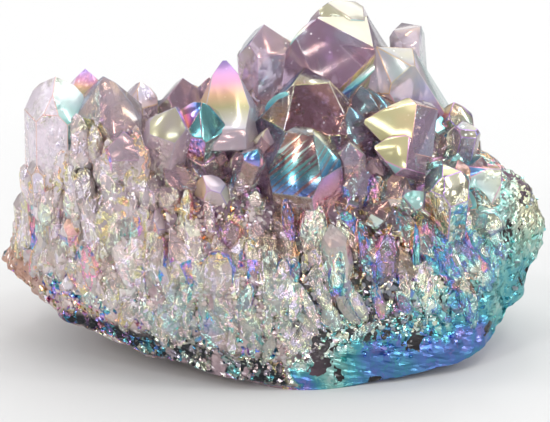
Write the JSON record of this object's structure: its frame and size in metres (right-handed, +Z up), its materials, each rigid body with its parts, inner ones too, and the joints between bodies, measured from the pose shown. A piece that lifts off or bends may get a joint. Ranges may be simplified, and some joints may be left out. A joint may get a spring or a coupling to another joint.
{
  "type": "amethyst druse",
  "caption": "Broken piece of geode wall: fused quartz columns round its sides and a bed of six-sided amethyst points on top, with an iridescent coat, lying on a flat foot.",
  "frame": {"origin": "on the resting surface, under the middle of the bounding box", "axes": "+X to the right along the longest side, +Y to the back, +Z up; the tall points are at the right of the middle and the low broken end at +X"},
  "size_m": [0.0794, 0.0474, 0.0493],
  "materials": {
    "coated_amethyst": "polished",
    "fine_quartz": "gloss",
    "rind": "satin"
  },
  "bodies": {
    "root": {"druse": "coated_amethyst"}
  },
  "joints": []
}
